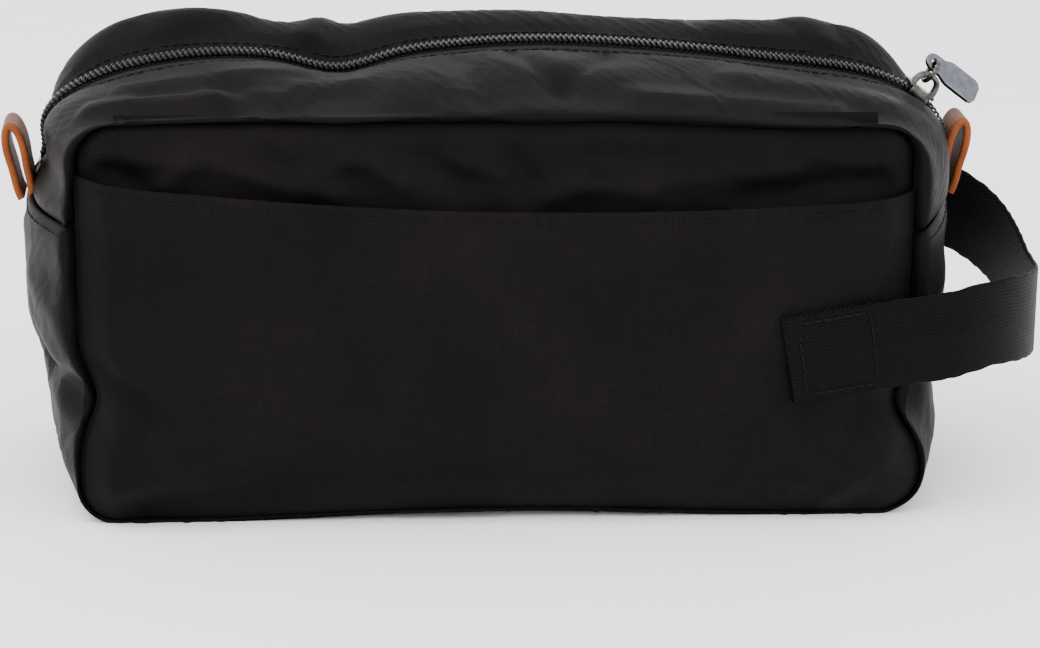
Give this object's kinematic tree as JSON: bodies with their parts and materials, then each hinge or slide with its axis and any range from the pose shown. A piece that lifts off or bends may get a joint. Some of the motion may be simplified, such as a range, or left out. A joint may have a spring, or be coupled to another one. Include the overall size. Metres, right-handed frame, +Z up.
{
  "type": "hanging toiletry bag",
  "caption": "Soft zipped toiletry bag in black nylon with a front slip pocket, a side webbing handle and leather hanging loops.",
  "frame": {"origin": "middle of the base, on the surface that the bag stands on", "axes": "+Z up, +X along the zip towards the handle, the pocket faces -Y"},
  "size_m": [0.306, 0.1033, 0.133],
  "materials": {
    "nylon": "black nylon twill with a soft satin sheen",
    "lining": "thin plain-woven black polyester",
    "zip_tape": "black woven zip tape",
    "zip_coil": "dark grey nylon coil, slightly shiny",
    "webbing": "black herringbone webbing with ribbed edges",
    "leather": "tan leather with a fine grain and a raw edge",
    "gunmetal": "gunmetal plating, satin"
  },
  "bodies": {
    "bag": {"front_panel": "nylon", "back_panel": "nylon", "pocket_panel": "nylon", "lower_gusset": "nylon", "back_gusset": "nylon", "front_gusset_left": "nylon", "front_gusset_right": "nylon", "front_lining": "lining", "back_lining": "lining", "lower_lining": "lining", "back_top_lining": "lining", "front_top_lining_left": "lining", "front_top_lining_right": "lining", "front_binding": "lining", "back_binding": "lining", "zip_tape_back": "zip_tape", "zip_tape_front_left": "zip_tape", "zip_tape_front_right": "zip_tape", "zip_coil_back": "zip_coil", "zip_coil_front_left": "zip_coil", "zip_coil_front_right": "zip_coil", "zip_stop_left": "gunmetal", "zip_stop_front": "gunmetal", "zip_stop_back": "gunmetal", "handle_anchor_front": "webbing", "handle_anchor_back": "webbing"},
    "front_lip": {"front_gusset_lip": "nylon", "front_top_lining_lip": "lining", "zip_tape_front_lip": "zip_tape", "zip_coil_front_lip": "zip_coil"},
    "slider": {"slider_body": "gunmetal", "slider_bridge": "gunmetal"},
    "pull_link": {"pull_link": "gunmetal"},
    "pull_tab": {"pull_tab": "gunmetal"},
    "handle": {"handle_strap": "webbing"},
    "left_loop": {"leather_loop_left": "leather"},
    "right_loop": {"leather_loop_right": "leather"}
  },
  "joints": [
    {"name": "zip_slide", "type": "hinge", "parent": "bag", "child": "slider", "pos_m": [0.00547, 0, -0.1489], "axis": [0, -1, 0], "range_deg": [0, 41.7], "deforming": ["zip_tape_back", "zip_tape_front_left", "zip_tape_front_lip", "zip_tape_front_right", "zip_coil_back", "zip_coil_front_left", "zip_coil_front_lip", "zip_coil_front_right"]},
    {"name": "lip_fold", "type": "hinge", "parent": "bag", "child": "front_lip", "pos_m": [0, -0.044, 0.117], "axis": [1, 0, 0], "range_deg": [0, 45]},
    {"name": "link_swing", "type": "hinge", "parent": "slider", "child": "pull_link", "pos_m": [0.12926, 0, 0.11867], "axis": [0.7645, 0, -0.6446], "range_deg": [0, 65]},
    {"name": "pull_swing", "type": "hinge", "parent": "pull_link", "child": "pull_tab", "pos_m": [0.13026, 0.004, 0.1211], "axis": [0.4938, -0.6428, 0.5856], "range_deg": [0, 135]},
    {"name": "handle_swing", "type": "hinge", "parent": "bag", "child": "handle", "pos_m": [0.12, 0, 0.0505], "axis": [0, -1, 0], "range_deg": [-28, 20]},
    {"name": "left_loop_bend", "type": "hinge", "parent": "bag", "child": "left_loop", "pos_m": [-0.1368, 0, 0.0825], "axis": [0, -1, 0], "range_deg": [-5, 25], "stiffness_Nm_per_rad": 0.003},
    {"name": "right_loop_bend", "type": "hinge", "parent": "bag", "child": "right_loop", "pos_m": [0.1368, 0, 0.0825], "axis": [0, 1, 0], "range_deg": [-5, 25], "stiffness_Nm_per_rad": 0.003}
  ],
  "couplings": [
    {"joint": "lip_fold", "follows": "zip_slide", "ratio": 1.07}
  ]
}
